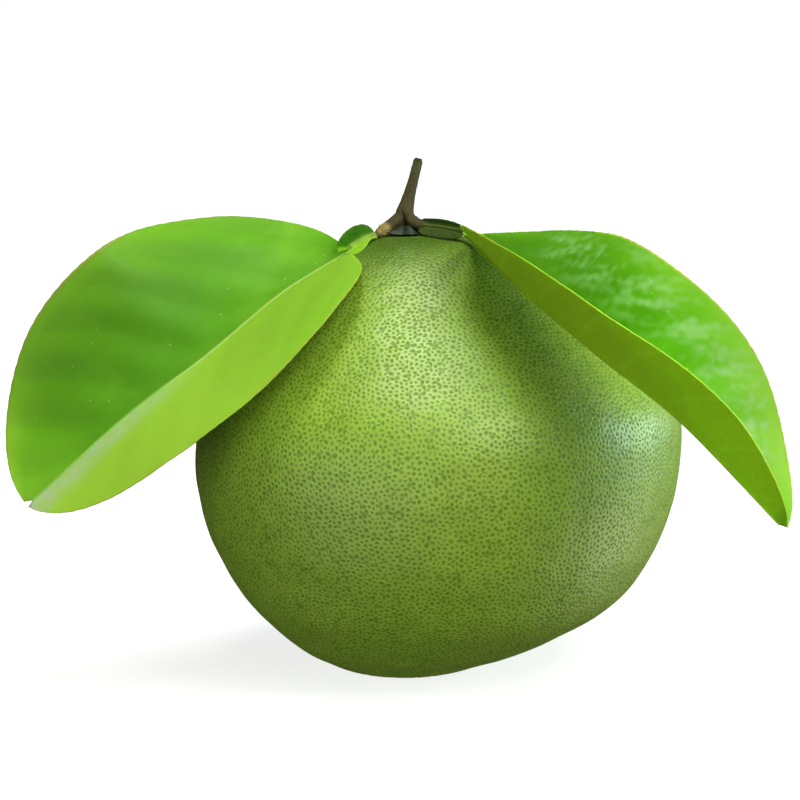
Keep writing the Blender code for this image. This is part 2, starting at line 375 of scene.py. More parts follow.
def end_tree(tree, geometry, material=None):
    """Ends a geometry tree in Realize Instances and, with a material, Set Material."""
    real = tree.add("GeometryNodeRealizeInstances", {}, {"Geometry": geometry})
    if material is not None:
        real = tree.add("GeometryNodeSetMaterial", {}, {"Geometry": real, "Material": material})
    exit_node = tree.nodes.nodes.new("NodeGroupOutput")
    tree.nodes.links.new(real.socket, exit_node.inputs["Geometry"])


def grown(mesh, tree, values):
    """The mesh as the geometry tree makes it anew, with the tree's named inputs set to values."""
    obj = bpy.data.objects.new(tree.nodes.name, mesh)
    bpy.context.scene.collection.objects.link(obj)
    modifier = obj.modifiers.new(tree.nodes.name, "NODES")
    modifier.node_group = tree.nodes
    items = tree.nodes.interface.items_tree
    identifiers = {item.name: item.identifier for item in items if item.in_out == "INPUT"}
    for title, value in values.items():
        modifier[identifiers[title]] = value
    return applied(obj)


def applied(obj):
    """The object's mesh with its modifiers applied. The object and its old mesh are removed."""
    bpy.context.view_layer.update()
    made = bpy.data.meshes.new_from_object(obj.evaluated_get(bpy.context.evaluated_depsgraph_get()))
    old = obj.data
    bpy.data.objects.remove(obj)
    bpy.data.meshes.remove(old)
    return made


# ---------------------------------------------------------------- meshes


CURVE_STEPS = 24  # between two given points of a smooth curve
FACE_ORDER_SEED = 1


def catmull_rom(points, samples, before=None, after=None):
    """Points on a smooth curve through the given ones: so many of them, or at given shares of its length.

    before and after are the points that the curve comes from and goes on to.
    """
    points = np.array(points, float)
    first = 2 * points[0] - points[1] if before is None else before
    last = 2 * points[-1] - points[-2] if after is None else after
    padded = np.vstack([first, points, last])
    steps = np.linspace(0, 1, CURVE_STEPS, endpoint=False)[:, None]
    pieces = []
    for a, b, c, d in zip(padded, padded[1:], padded[2:], padded[3:]):
        bend = (2 * a - 5 * b + 4 * c - d) * steps**2 + (3 * b - a - 3 * c + d) * steps**3
        pieces.append((2 * b + (c - a) * steps + bend) / 2)
    dense = np.vstack([*pieces, points[-1:]])
    length = np.concatenate([[0], np.cumsum(np.linalg.norm(np.diff(dense, axis=0), axis=1))])
    at = np.linspace(0, length[-1], samples) if np.isscalar(samples) else samples * length[-1]
    return np.stack([np.interp(at, length, column) for column in dense.T], axis=1)


def unit(vectors):
    return vectors / np.maximum(np.linalg.norm(vectors, axis=-1), 1e-12)[..., None]


def smooth_step(values, low, high):
    """0 below low, 1 above high, and a smooth rise between. With high below low it falls instead."""
    part = np.clip((values - low) / (high - low), 0, 1)
    return part**2 * (3 - 2 * part)


def bell(distance, width):
    """1 at no distance, falling smoothly to almost 0 at two widths."""
    return np.exp(-((distance / width) ** 2))


def new_mesh(name, points, faces, attributes=None):
    """A smooth mesh with a number of its own at each point for each attribute."""
    mesh = bpy.data.meshes.new(name)
    mesh.from_pydata(np.asarray(points).reshape(-1, 3).tolist(), [], np.asarray(faces).tolist())
    for title, values in (attributes or {}).items():
        store(mesh, title, values)
    mesh.shade_smooth()
    return mesh


def steady_mesh(name, form):
    """The form as a smooth mesh whose faces come in the same order each run, and the end of the form.

    A ready-made sphere's faces don't, and what is scattered over them would change with it.
    """
    form.verts.index_update()
    faces = []
    for face in form.faces:
        corners = [vertex.index for vertex in face.verts]
        first = corners.index(min(corners))
        faces.append(corners[first:] + corners[:first])
    faces.sort()
    order = np.random.default_rng(FACE_ORDER_SEED).permutation(len(faces))
    mesh = bpy.data.meshes.new(name)
    mesh.from_pydata([vertex.co for vertex in form.verts], [], [faces[i] for i in order])
    mesh.shade_smooth()
    form.free()
    return mesh


def store(mesh, title, values):
    attribute = mesh.attributes.new(title, "FLOAT", "POINT")
    attribute.data.foreach_set("value", np.asarray(values, np.float32).ravel())


def places_of(mesh):
    places = np.empty(len(mesh.vertices) * 3, np.float32)
    mesh.vertices.foreach_get("co", places)
    return places.reshape(-1, 3).astype(float)


def show(name, mesh, material, node):
    """Puts the finished piece in the scene in place of its CAD node."""
    mesh.name = name
    mesh.materials.clear()
    mesh.materials.append(material)
    piece = bpy.data.objects.new(name, mesh)
    bpy.context.scene.collection.objects.link(piece)
    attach(piece, BODY)
    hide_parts(node)
    return piece


# ---------------------------------------------------------------- fruit

RIND_SEGMENTS = 192
RIND_RINGS = 120
RIND_WAVES = [(30, 1.0), (13, 0.55), (6, 0.3)]  # (length in mm, share of the height) of the broad unevenness
RIND_SINK = 0.2 * MM  # keeps those waves inside the outline
WAVE_FREE = 4 * MM  # the waves die out this far above the ground
SWELL_START = (2, 7)  # mm from the crown's middle where its ring starts to rise, and over how far
SWELL_END = (16, 30)  # mm where the ring starts to fall, and over how far
CROWDING = 6e6  # more glands a square metre than there is room for
SMALLEST_GLAND = 0.62  # as a share of the largest
JOINED_SHARE = 0.09  # of the gaps between glands, these sink too and join them
JOINED_DEPTH = 0.4
BARE_RADIUS = 5 * MM  # no glands this near the calyx's middle
NET_MIDDLE = (0, 0, 70 * MM)


def settled(height):
    """The rind lies flat where it would reach below the ground, and eases into that flat spot."""
    if height <= 0:
        return 0.0
    if height < FRUIT_SETTLE:
        return height**2 / (2 * FRUIT_SETTLE)
    return height - FRUIT_SETTLE / 2


def crown_swell(distance):
    """The rind rises in a soft ring round the calyx."""
    near = min(1.0, max(0.0, (distance / MM - SWELL_START[0]) / SWELL_START[1]))
    far = min(1.0, max(0.0, (distance / MM - SWELL_END[0]) / SWELL_END[1]))
    return CROWN_SWELL * near**2 * (3 - 2 * near) * (1 - far**2 * (3 - 2 * far))


def fruit_rings(count):
    """(height, left, right) from pole to pole. Past each pole the outline comes back on the other side."""
    outline = np.array(FRUIT_OUTLINE) * MM
    swapped = outline[:, [0, 2, 1]]
    return catmull_rom(outline, count + 1, before=swapped[1], after=swapped[-2])


def smooth_rind(swell):
    """The fruit without its glands, with the broad unevenness that a grown rind has."""
    form = bmesh.new()
    bmesh.ops.create_uvsphere(form, u_segments=RIND_SEGMENTS, v_segments=RIND_RINGS, radius=1)
    rings = fruit_rings(RIND_RINGS)
    for vertex in form.verts:
        share = math.acos(max(-1.0, min(1.0, -vertex.co.z))) / math.pi
        height, left, right = rings[round(share * RIND_RINGS)]
        around = math.atan2(vertex.co.y, vertex.co.x)
        radius = (right - left) / 2
        toe = FRUIT_TOE * math.exp(-height / FRUIT_TOE_HEIGHT)
        vertex.co.x = (left + right) / 2 + radius * math.cos(around)
        vertex.co.y = toe + radius * FRUIT_DEPTH * math.sin(around)
        vertex.co.z = settled(height)
        if height > CROWN[2] / 2:
            vertex.co.z += crown_swell(math.hypot(vertex.co.x - CROWN[0], vertex.co.y - CROWN[1]))
    form.normal_update()
    for vertex in form.verts:
        place = vertex.co / MM
        rise = sum(share * noise.noise(place / length) for length, share in RIND_WAVES)
        above_ground = min(1.0, vertex.co.z / WAVE_FREE)
        vertex.co += vertex.normal * (swell * rise * above_ground - RIND_SINK)
        vertex.co.z = max(0.0, vertex.co.z)
    return steady_mesh("smooth rind", form)


def gland_tree():
    """Scatters the oil glands over the rind, as bare points."""
    inputs = [("Spacing", "NodeSocketFloat"), ("Crowding", "NodeSocketFloat"), ("Seed", "NodeSocketInt")]
    tree, given = geometry_tree("Oil glands", inputs)
    points = scattered(tree, given)
    end_tree(tree, tree.add("GeometryNodePointsToVertices", {}, {"Points": points}))
    return tree


def net_over(points):
    """Triangles that join each point to its neighbours all round the fruit.

    They are found with the points laid out flat, as seen from the fruit's lowest point.
    """
    directions = unit(points - np.array(NET_MIDDLE))
    spread = directions[:, :2] / (1 + directions[:, 2:])
    made = delaunay_2d_cdt([Vector(place) for place in spread], [], [], 0, 1e-9)
    triangles = np.array([face for face in made[2]])
    origin = np.array([ids[0] for ids in made[3]])
    triangles = origin[triangles]
    form = bmesh.new()
    verts = [form.verts.new(point) for point in points]
    for triangle in triangles:
        form.faces.new([verts[i] for i in triangle])
    rim = [edge for edge in form.edges if edge.is_boundary]
    filled = bmesh.ops.holes_fill(form, edges=rim, sides=0)
    bmesh.ops.triangulate(form, faces=filled["faces"])
    bmesh.ops.recalc_face_normals(form, faces=form.faces)
    form.verts.index_update()
    faces = np.array([[vertex.index for vertex in face.verts] for face in form.faces])
    form.free()
    return faces


def cells_of(points, triangles):
    """The net's dual: the skin as one cell round each point, fanned out from it to the corners of its cell.

    Returns the points with the corners after them, and the triangles.
    """
    ends = np.concatenate([triangles[:, [0, 1]], triangles[:, [1, 2]], triangles[:, [2, 0]]])
    owner = np.tile(np.arange(len(triangles)), 3)
    key = ends[:, 0] * len(points) + ends[:, 1]
    order = np.argsort(key)
    beyond = owner[order[np.searchsorted(key[order], ends[:, 1] * len(points) + ends[:, 0])]]
    faces = np.stack([ends[:, 0], len(points) + beyond, len(points) + owner], axis=1)
    return np.concatenate([points, points[triangles].mean(axis=1)]), faces


def pitted_tree():
    """Lays the net on the smooth rind and sinks it at the glands.

    Each gland has its own size, and some join up.
    """
    inputs = [
        ("Smooth rind", "NodeSocketObject"), ("Depth", "NodeSocketFloat"), ("Smallest", "NodeSocketFloat"),
        ("Joined", "NodeSocketFloat"), ("Seed", "NodeSocketInt"), ("Crown", "NodeSocketVector"),
        ("Bare radius", "NodeSocketFloat"), ("Material", "NodeSocketMaterial"),
    ]
    tree, given = geometry_tree("Pitted rind", inputs)
    rind = tree.add("GeometryNodeObjectInfo", {}, {"Object": given["Smooth rind"]}, "Geometry")
    place = tree.add("GeometryNodeInputPosition")
    normal = tree.add("GeometryNodeInputNormal")
    gland = tree.stored("gland")
    size = tree.random(given["Smallest"], 1.0, given["Seed"])
    chance = tree.random(0.0, 1.0, given["Seed"] + 1)
    joined = tree.maths("LESS_THAN", chance, given["Joined"]) * JOINED_DEPTH
    from_crown = tree.vectors("DISTANCE", place, given["Crown"], out="Value")
    grown_in = from_crown.step(given["Bare radius"], given["Bare radius"] * 2.2)
    pore = (gland * size + (1 - gland) * joined) * grown_in
    kept = {"Geometry": given["Geometry"], "Name": "pore", "Value": pore}
    stored = tree.add("GeometryNodeStoreNamedAttribute", {"data_type": "FLOAT", "domain": "POINT"}, kept)
    close = {0: rind, "Source Position": place}
    nearest = tree.add("GeometryNodeProximity", {"target_element": "FACES"}, close, "Position")
    sample = {"Mesh": rind, "Value": normal, "Sample Position": place}
    outward = tree.add("GeometryNodeSampleNearestSurface", {"data_type": "FLOAT_VECTOR"}, sample)
    sunk = tree.tint(outward, 0 - tree.stored("pore") * given["Depth"])
    target = tree.vectors("ADD", nearest, sunk)
    moved = tree.add("GeometryNodeSetPosition", {}, {"Geometry": stored, "Position": target})
    end_tree(tree, moved, given["Material"])
    return tree


def rind_look(settings):
    def look(tree, where):
        pore = tree.attribute("pore")
        fine = tree.noise(where, 1500, 2)
        broad = tree.noise(where, 22, 3, 0.55)
        patchy = tree.noise(where, 120, 3, 0.6)
        spot = (pore + (fine - 0.5) * 0.25).step(0.0, 0.78)
        x, _, z = separate(tree, where)
        ripe = (x.step(20 * MM, 85 * MM) * z.step(95 * MM, 30 * MM)) * 0.75 + broad.step(0.45, 0.75) * 0.25
        net = tree.blend(settings.net, settings.ripe, ripe)
        net = tree.tint(net, 0.78 + patchy * 0.44)
        colour = tree.blend(net, settings.glands, spot * 0.92)
        scar = tree.vectors("DISTANCE", where, BLOSSOM_END, out="Value").step(3.4 * MM, 2.2 * MM)
        colour = tree.blend(colour, settings.scar, scar * 0.9)
        # Deeper green round the calyx, darkened and spread wide as painted shade of the twig and leaves over
        # the crown.
        crown = tree.vectors("DISTANCE", where, CROWN, out="Value").step(44 * MM, 14 * MM)
        colour = tree.blend(colour, settings.crown, crown * 0.85)
        skin = tree.noise(where, 2600, 2)
        height = skin * 0.05 - pore.step(0.15, 0.8) * 0.13 + patchy * 0.1
        return {
            "Base Color": colour, "Roughness": 0.33 + spot * 0.14 + (patchy - 0.5) * 0.14,
            "Subsurface Weight": 0.08, "Subsurface Radius": (0.8, 1.0, 0.3), "Subsurface Scale": 0.001,
            "Specular IOR Level": 0.62, "height": height,
        }

    return look


def separate(tree, where):
    """The three numbers of a vector."""
    x = tree.add("ShaderNodeSeparateXYZ", {}, {"Vector": where}, "X")
    return x, x.out("Y"), x.out("Z")


class POMELO_OT_fruit(bpy.types.Operator):
    """Makes the fruit: a rind pitted by oil glands, on its small flat spot"""

    bl_idname = "pomelo.make_fruit"
    bl_label = "Fruit"

    def execute(self, context):
        settings = context.scene.pomelo.rind
        smooth = smooth_rind(settings.swell)
        scatter = {"Spacing": settings.gland_spacing, "Crowding": CROWDING, "Seed": settings.seed}
        glands = places_of(grown(smooth.copy(), gland_tree(), scatter))
        points, faces = cells_of(glands, net_over(glands))
        is_gland = np.arange(len(points)) < len(glands)
        net = new_mesh("net", points, faces, {"gland": is_gland})
        base = bpy.data.objects.new("smooth rind", smooth)
        material = new_material("waxed rind", rind_look(settings))
        pits = {
            "Smooth rind": base, "Depth": settings.pit_depth, "Smallest": SMALLEST_GLAND,
            "Joined": JOINED_SHARE, "Seed": settings.seed, "Crown": CROWN, "Bare radius": BARE_RADIUS,
            "Material": material,
        }
        mesh = grown(net, pitted_tree(), pits)
        bpy.data.objects.remove(base)
        show("pomelo_fruit", mesh, material, "fruit")
        self.report({"INFO"}, f"{len(glands)} glands, {len(mesh.polygons)} triangles")
        return {"FINISHED"}


# ---------------------------------------------------------------- leaves

BLADE_ROWS = 180
BLADE_COLUMNS = 112
ROWS_AT_ENDS = 0.35  # how strongly a blade's rows crowd towards the stalk and the tip, up to 1
FOLD = 0.03  # how round the fold along the midrib is, as a share of a half's width
SCALLOP_LENGTH = 3.6 * MM
SCALLOP_DEPTH = 0.22 * MM
SCALLOP_BLUNTNESS = 0.6
VEIN_WIDTH = 0.75 * MM
VEIN_GROOVE = 0.05 * MM  # depth on the upper face
VEIN_RIDGE = 0.08 * MM  # height on the under face
VEIN_START = (1.5 * MM, 7 * MM)  # the side veins come in over this distance from the midrib
VEIN_END = 8 * MM  # and fade out over this distance from the margin
NEAR_QUILTING = 0.3  # of the far half's
WAVE_LENGTH = 26 * MM
WAVE_HEIGHT = 0.85 * MM
BULGE = 1.0 * MM  # how far a half bulges as a whole
DIMPLE_LENGTH = 7 * MM
DIMPLE_HEIGHT = 0.05 * MM
CHANNEL_DEPTH = 0.35 * MM  # the midrib lies in a channel on the upper face, with a thin line standing in it
CHANNEL_WIDTH = 1.6 * MM
LINE_HEIGHT = 0.30 * MM
LINE_WIDTH = 0.55 * MM
MARGIN_THINNING = 0.55


def half_width(share, half):
    """A half's width along the midrib, as an ellipse that may be fuller and widest off the middle."""
    skew = math.log(0.5) / math.log(half["widest"])
    start = half.get("start", 0)
    around = np.maximum(0.0, (share - start) / (1 - start)) ** skew
    end = END_WIDTH * np.clip(0.25 + 25 * share, 0, 1)
    width = half["width"] * (4 * around * (1 - around)) ** half["fullness"]
    if "taper" in half:
        width = width * smooth_step(share, 0, half["taper"])
    return MM * np.maximum(end, width)


def lift_at(share, half):
    """A half's lift, easing from its base value to its middle one and on to its tip one."""
    base, middle, tip = half["lift"]
    first = smooth_step(share, 0, 0.5)
    second = smooth_step(share, 0.5, 1)
    return np.radians(base + (middle - base) * first + (tip - middle) * second)


def folded_sheet(shape, shares, across, crenation=0.0):
    """A folded blade's mid surface: points, unit normals, and each point's way along and across in metres.

    across gives the columns' places from -1 at the near margin to 1 at the far one.
    """
    midrib = catmull_rom(np.array(shape["midrib"]) * MM, shares)
    length = np.concatenate([[0], np.cumsum(np.linalg.norm(np.diff(midrib, axis=0), axis=1))])
    along = unit(np.gradient(midrib, axis=0))
    level = np.cross((0, 0, 1), along)
    level = unit(level * -np.sign(level[:, 1])[:, None])
    upward = np.cross(level, along)
    upward *= np.sign(upward[:, 2])[:, None]
    points = np.zeros((len(shares), len(across), 3)) + midrib[:, None]
    reach = np.zeros((len(shares), len(across)))
    for name, sign in (("near", -1), ("far", 1)):
        half = shape[name]
        lift = lift_at(shares, half)[:, None]
        side = np.cos(lift) * level + np.sin(lift) * upward
        rounded = (np.sqrt(across**2 + FOLD**2) + sign * across - FOLD) / 2
        outward = rounded / ((math.sqrt(1 + FOLD**2) + 1 - FOLD) / 2)
        scallop = np.abs(np.sin(math.pi * length / SCALLOP_LENGTH + sign))
        width = half_width(shares, half) + crenation * (scallop**SCALLOP_BLUNTNESS - 1)
        points += side[:, None] * (outward * width[:, None])[..., None]
        beyond = shape["sweep"][name] * MM * shares ** shape["sweep"]["power"]
        points += along[:, None] * (beyond[:, None] * outward)[..., None]
        reach += sign * outward * width[:, None]
    ways = np.broadcast_to(length[:, None], reach.shape)
    return points, surface_normals(points), ways, reach


def surface_normals(points):
    rows = np.gradient(points, axis=0)
    columns = np.gradient(points, axis=1)
    return unit(np.cross(rows, columns))


def spread_columns(count):
    """Places across a blade from -1 to 1, closer together at the midrib and at the margins."""
    even = np.linspace(0, 1, count // 2 + 1)
    half = 0.5 * even + 0.5 * (1 - np.cos(math.pi * even)) / 2
    return np.concatenate([-half[:0:-1], half])


def vein_phase(ways, reach, spacing):
    """Whole numbers lie on the side veins, which leave the midrib at a slant and bend on towards the tip."""
    out = np.abs(reach) / MM
    along = ways / MM - 0.52 * out - 0.0075 * out**2
    return along / (spacing / MM) + np.where(reach < 0, 0.5, 0.0)


def closed_sheet(name, upper, under, attributes):
    """A closed mesh from two grids of points, joined along their rims. Attribute under is 1 on the second."""
    rows, columns = upper.shape[:2]
    grid = np.arange(rows * columns).reshape(rows, columns)
    top = np.stack([grid[:-1, :-1], grid[:-1, 1:], grid[1:, 1:], grid[1:, :-1]], axis=-1).reshape(-1, 4)
    below = top[:, ::-1] + grid.size
    loop = np.concatenate([grid[0], grid[1:, -1], grid[-1, -2::-1], grid[-2:0:-1, 0]])
    after = np.roll(loop, -1)
    rim = np.stack([after, loop, loop + grid.size, after + grid.size], axis=-1)
    points = np.concatenate([upper.reshape(-1, 3), under.reshape(-1, 3)])
    doubled = {title: np.tile(values.ravel(), 2) for title, values in attributes.items()}
    doubled["under"] = np.repeat([0.0, 1.0], grid.size)
    mesh = new_mesh(name, points, np.concatenate([top, below, rim]), doubled)
    form = bmesh.new()
    form.from_mesh(mesh)
    bmesh.ops.recalc_face_normals(form, faces=form.faces)
    form.to_mesh(mesh)
    form.free()
    return mesh


def rumple(points, scale, seed):
    """Smooth noise between about -1 and 1 at each point."""
    shift = Vector((seed * 17.3, seed * 5.1, seed * 29.7))
    flat = points.reshape(-1, 3) / scale
    values = [noise.noise(Vector(place) + shift) for place in flat]
    return np.array(values).reshape(points.shape[:-1])


def left_painted_sheen(reach, along, share, points):
    """Painted sheen: a pale whitish band on the near half below its fold, towards the tip."""
    below = smooth_step(reach, 0.4, -1.5) * smooth_step(reach, -13, -3)
    return below * smooth_step(along, 0.42, 0.8) * (0.75 + 0.5 * rumple(points, 5 * MM, 21))


def right_painted_sheen(reach, along, share, points):
    """Painted sheen: pale streaks along the middle of the far half."""
    lane = 0.72 - 0.1 * along
    band = bell(share - lane, 0.26) * smooth_step(along, 0.12, 0.3) * smooth_step(along, 0.97, 0.8)
    stretched = points * np.array([0.35, 0.35, 1.8])
    streaks = rumple(stretched, 5 * MM, 22) + 0.8 * rumple(points, 2.2 * MM, 23)
    return band * (reach > 0) * smooth_step(streaks, -0.4, 0.9) * 0.66


def left_shade(reach, along, share, points):
    """Painted shade: the far half is darker along its middle, all but its margin."""
    middle = smooth_step(along, 0.2, 0.55) * smooth_step(along, 0.98, 0.75)
    return (reach > 0) * middle * smooth_step(share, 1.0, 0.86) * 0.36


def right_shade(reach, along, share, points):
    """Painted shade: the far half is darker towards the stalk and beside the fold."""
    return (reach > 0) * smooth_step(along, 0.75, 0.3) * (1 - 0.3 * smooth_step(share, 0.3, 0.9))


# Painted sheen and painted shade on each blade, from its points' reach across in mm, and their shares of its
# length and its width
LEAF_TONES = {
    "left_leaf": {"bloom": left_painted_sheen, "deep": left_shade},
    "right_leaf": {"bloom": right_painted_sheen, "deep": right_shade},
}


def blade_shares():
    """Where a blade's rows lie, as shares of its length."""
    crowded = (1 - np.cos(np.linspace(0, math.pi, BLADE_ROWS + 1))) / 2
    return crowded * ROWS_AT_ENDS + np.linspace(0, 1, BLADE_ROWS + 1) * (1 - ROWS_AT_ENDS)


def blade_mesh(name, shape, settings, seed):
    """A blade with quilting, waves, side veins and midrib, each worked into its upper and its under face."""
    shares = blade_shares()
    along = shares[:, None]
    points, normals, ways, reach = folded_sheet(shape, shares, spread_columns(BLADE_COLUMNS), SCALLOP_DEPTH)
    facing = -1 if normals[BLADE_ROWS // 2, 0, 2] < 0 else 1
    normals = normals * facing
    out = np.abs(reach)
    width = np.abs(reach[:, [0, -1]]).max(axis=1)[:, None]
    phase = vein_phase(ways, reach, settings.vein_spacing)
    inside = smooth_step(out, *VEIN_START) * smooth_step(width - out, 0.0, VEIN_END)
    vein = bell(np.abs(phase - np.round(phase)) * settings.vein_spacing, VEIN_WIDTH) * inside
    quilting = settings.quilting * inside * np.where(reach < 0, NEAR_QUILTING, 1.0)
    quilt = np.cos(2 * math.pi * (phase + 0.5)) * quilting
    wave = rumple(points, WAVE_LENGTH, seed) * WAVE_HEIGHT * smooth_step(out / width, 0.05, 1.0) ** 1.5
    bulge = BULGE * np.sin(math.pi * np.clip(out / width, 0, 1)) * np.sin(math.pi * along)
    dimples = rumple(points, DIMPLE_LENGTH, seed + 1) * DIMPLE_HEIGHT
    lifted = points + normals * (quilt + wave + bulge + dimples)[..., None]
    normals = surface_normals(lifted) * facing
    half = settings.thickness / 2 * (1 - MARGIN_THINNING * smooth_step(out / width, 0.94, 1.0))
    channel = LINE_HEIGHT * bell(out, LINE_WIDTH) - CHANNEL_DEPTH * bell(out, CHANNEL_WIDTH)
    rib = settings.rib_height * (1 - 0.75 * along) * bell(out, (1.15 - 0.6 * along) * MM)
    upper = lifted + normals * (half - vein * VEIN_GROOVE + channel * (1 - 0.6 * along))[..., None]
    under = lifted - normals * (half + rib + VEIN_RIDGE * vein)[..., None]
    # Painted shade and light of the quilting: bands darker and lighter between the side veins.
    arc = 0.5 + 0.5 * np.sin(2 * math.pi * phase) * inside
    tones = {"vein": vein, "edge": out / width, "arc": arc}
    for title, spread in LEAF_TONES[name].items():
        tones[title] = spread(reach / MM, along, out / width, points)
    mesh = closed_sheet(name, upper, under, tones)
    add_map(mesh, "Blade", ways, reach)
    return mesh


def add_map(mesh, name, ways, reach):
    """A UV map in metres: along the midrib and across from it."""
    both = np.tile(np.stack([ways.ravel(), reach.ravel()], axis=1), (2, 1))
    corners = np.empty(len(mesh.loops), np.int32)
    mesh.loops.foreach_get("vertex_index", corners)
    layer = mesh.uv_layers.new(name=name)
    layer.data.foreach_set("uv", both[corners].astype(np.float32).ravel())


UPPER_VEIN = (0.06, 0.25, 0.004)
UNDER_VEIN = (0.34, 0.50, 0.04)
UNDER_NETWORK = (0.10, 0.20, 0.006)
UNDER_AT_STALK = (0.15, 0.185, 0.010)
# Painted shade that stands in for a curled tip, on the near half's end.
TIP_CURL_SHADE = (0.07, 0.10, 0.01)
DUST = (0.58, 0.76, 0.36)


def blade_look(settings):
    def look(tree, where):
        flat = tree.add("ShaderNodeUVMap", {"uv_map": "Blade"})
        along, across, _ = separate(tree, flat)
        out = across.size()
        under = tree.attribute("under")
        edge = tree.attribute("edge")
        vein = tree.attribute("vein")
        cells = tree.voronoi(flat, 620, "DISTANCE_TO_EDGE")
        coarse = tree.voronoi(flat, 210, "DISTANCE_TO_EDGE")
        network = cells.step(0.10, 0.0) * 0.5 + coarse.step(0.09, 0.0)
        broad = tree.noise(where, 30, 3, 0.55)
        mottle = tree.noise(flat, 320, 4, 0.6)
        # The quilting's painted shade and light darkens and lightens the upper face in bands.
        shade = 0.62 + broad * 0.42 + mottle * 0.14 + tree.attribute("arc") * 0.14
        upper = tree.tint(settings.upper, shade)
        near = across.step(0.5 * MM, -1.5 * MM)
        # Painted light: the near half is paler because it lies level and faces the light. The other pale parts
        # are random patches, the margin and the tip.
        pale_and_lit = broad.step(0.5, 0.8) * 0.3 + edge.step(0.5, 1.0) * 0.3 + along.step(90 * MM, 150 * MM) * 0.45
        pale_and_lit = pale_and_lit.most(near * (along.step(15 * MM, 80 * MM) * 0.25 + 0.70))
        upper = tree.blend(upper, settings.pale_and_lit, pale_and_lit)
        # Painted shade on the far halves.
        upper = tree.blend(upper, settings.deep, tree.attribute("deep") * 0.8)
        upper = tree.blend(upper, UPPER_VEIN, vein * (1 - near) * 0.10)
        below = tree.tint(settings.under, 0.78 + broad * 0.32 + mottle * 0.12)
        below = tree.blend(below, UNDER_AT_STALK, along.step(110 * MM, 10 * MM) * 0.6)
        below = tree.blend(below, UNDER_NETWORK, network * 0.10)
        below = tree.blend(below, UNDER_VEIN, vein * 0.25)
        colour = tree.blend(upper, below, under)
        midrib = out.step(0.8 * MM, 0.35 * MM) * along.step(92 * MM, 60 * MM).most(under)
        colour = tree.blend(colour, settings.midrib, midrib * 0.75)
        colour = tree.blend(colour, settings.margin, edge.step(0.975, 0.995) * 0.7)
        chosen = tree.voronoi(flat, 260, "F1", "Color")
        rare = separate(tree, chosen)[0].step(0.62, 0.66) * broad.step(0.35, 0.6)
        dust = chosen.out("Distance").step(0.10, 0.05) * rare
        colour = tree.blend(colour, DUST, dust * 0.5)
        # Painted shade of a curled tip at the near half's end.
        colour = tree.blend(colour, TIP_CURL_SHADE, along.step(155 * MM, 160 * MM) * near * 0.7)
        # Painted sheen: pale bands and streaks that stand in for the leaf's sheen, with a little lower
        # roughness.
        bloom = tree.attribute("bloom") * (1 - under)
        colour = tree.blend(colour, settings.painted_sheen_colour, bloom * (0.5 + mottle * 0.4))
        rough = 0.50 + under * 0.10 + (broad - 0.5) * 0.16 + (mottle - 0.5) * 0.1 - bloom * 0.15
        return {
            "Base Color": colour, "Roughness": rough, "Specular IOR Level": 0.18, "Subsurface Weight": 0.75,
            "Subsurface Radius": (1.0, 1.6, 0.25), "Subsurface Scale": 0.002,
            "height": mottle * 0.03 - network * 0.004 * (1 - under) + network * 0.02 * under,
        }

    return look


class POMELO_OT_leaves(bpy.types.Operator):
    """Makes the two folded leaf blades with their midribs, side veins and scalloped margins"""

    bl_idname = "pomelo.make_leaves"
    bl_label = "Leaves"

    def execute(self, context):
        settings = context.scene.pomelo.leaf
        material = new_material("leaf blade", blade_look(settings))
        for seed, (node, shape) in enumerate([("left_leaf", LEFT_BLADE), ("right_leaf", RIGHT_BLADE)]):
            mesh = blade_mesh(node, shape, settings, seed + 1)
            show("pomelo_" + node, mesh, material, node)
        return {"FINISHED"}


# ---------------------------------------------------------------- stalks and twig

TUBE_SIDES = 28
TUBE_ROWS = 8  # for each given point of its path
ACROSS_ANY_STALK = (0.13, 1.0, 0.21)  # a direction that no stalk or twig follows
CAP_SHARE = 0.6  # the rounded cap's radius at its end
STALK_SHARES = (0, 0.15, 0.8, 1)
STALK_RADII = (1.35, 1.1, 1.05, 1.3)  # mm, swollen at both joints
WING_ROWS = 40
WING_COLUMNS = 28
WING_THICKNESS = 0.6 * MM
PETIOLE_VOXEL = 0.13 * MM
TWIG_VOXEL = 0.2 * MM
KNOT = np.array([-16.2, -4.5, 145.0]) * MM
KNOT_RADIUS = 2.6 * MM
KNOT_SCALES = 0.9 * MM
FORK_HEIGHTS = (146.6, 152.2)  # mm, the ends of the groove at the fork
FORK_X = (-8.9, -10.6)  # mm, and where they lie
FORK_GROOVE = 0.5 * MM
LENTICEL_SIZE = 0.16 * MM
LENTICEL_CROWDING = 2e6  # more of them a square metre than there is room for


